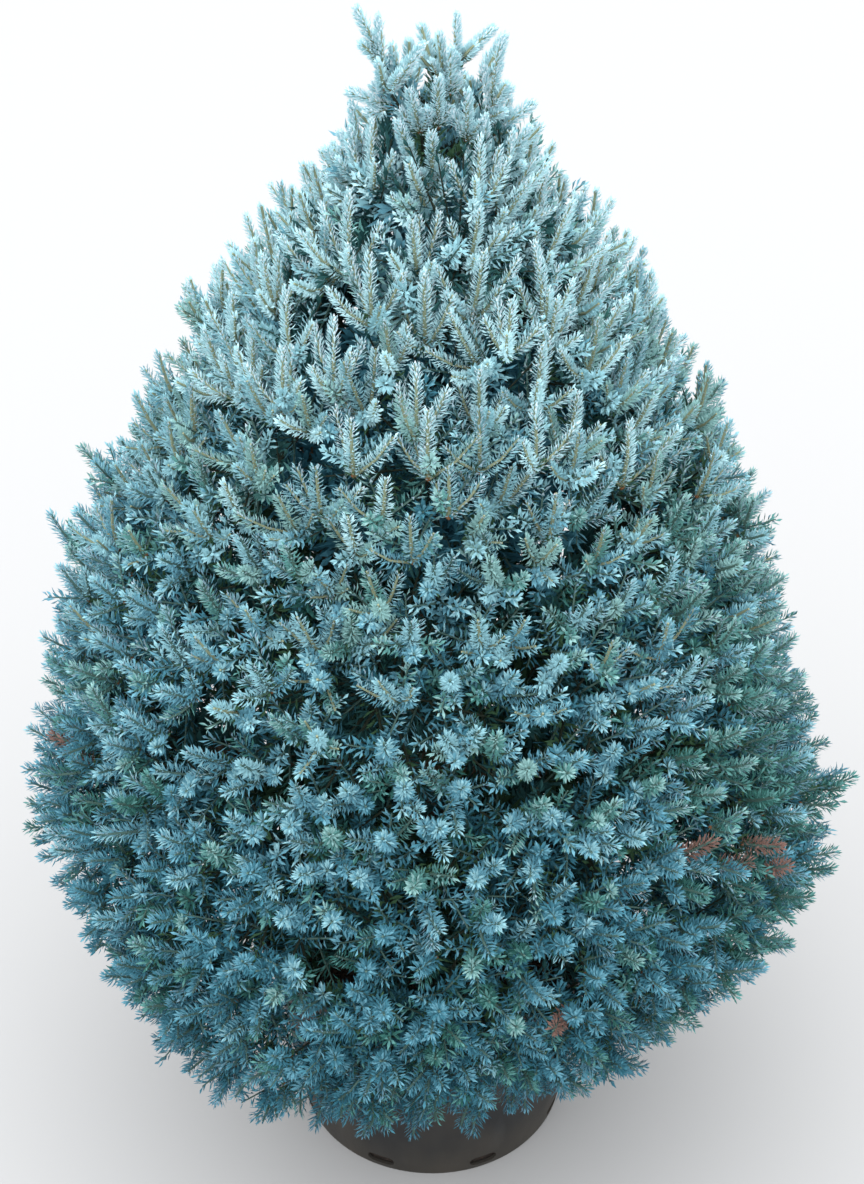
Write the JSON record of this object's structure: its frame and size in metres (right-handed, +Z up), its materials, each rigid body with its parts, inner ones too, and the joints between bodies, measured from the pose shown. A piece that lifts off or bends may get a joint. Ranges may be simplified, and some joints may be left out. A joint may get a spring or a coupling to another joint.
{
  "type": "potted dwarf colorado spruce",
  "caption": "Dense egg-shaped blue spruce with upright shoots and silver-blue needles, standing in a plain tapered nursery pot of bark compost.",
  "frame": {"origin": "centre of the pot's flat underside", "axes": "+Z up the trunk, -Y towards the side that the picture shows"},
  "size_m": [0.8114, 0.7849, 1.3113],
  "materials": {
    "pot_plastic": "matt, slightly scuffed charcoal plastic",
    "compost": "rough bark compost",
    "bark": "rough, scaly grey-brown bark",
    "needles": "matt blue-green needles with silver tips"
  },
  "bodies": {
    "root": {"pot": "pot_plastic", "compost": "compost", "trunk": "bark", "bough_skirt_1": "bark", "mass_skirt_1": "needles", "bough_skirt_2": "bark", "mass_skirt_2": "needles", "bough_skirt_3": "bark", "mass_skirt_3": "needles", "bough_skirt_4": "bark", "mass_skirt_4": "needles", "bough_skirt_5": "bark", "mass_skirt_5": "needles", "bough_skirt_6": "bark", "mass_skirt_6": "needles", "bough_skirt_7": "bark", "mass_skirt_7": "needles", "bough_lower_1": "bark", "mass_lower_1": "needles", "bough_lower_2": "bark", "mass_lower_2": "needles", "bough_lower_3": "bark", "mass_lower_3": "needles", "bough_lower_4": "bark", "mass_lower_4": "needles", "bough_lower_5": "bark", "mass_lower_5": "needles", "bough_lower_6": "bark", "mass_lower_6": "needles", "bough_lower_7": "bark", "mass_lower_7": "needles", "bough_middle_1": "bark", "mass_middle_1": "needles", "bough_middle_2": "bark", "mass_middle_2": "needles", "bough_middle_3": "bark", "mass_middle_3": "needles", "bough_middle_4": "bark", "mass_middle_4": "needles", "bough_middle_5": "bark", "mass_middle_5": "needles", "bough_middle_6": "bark", "mass_middle_6": "needles", "bough_upper_1": "bark", "mass_upper_1": "needles", "bough_upper_2": "bark", "mass_upper_2": "needles", "bough_upper_3": "bark", "mass_upper_3": "needles", "bough_upper_4": "bark", "mass_upper_4": "needles", "bough_upper_5": "bark", "mass_upper_5": "needles", "mass_neck_1": "needles", "mass_neck_2": "needles", "mass_neck_3": "needles", "mass_neck_4": "needles", "mass_leader": "needles"}
  },
  "joints": []
}
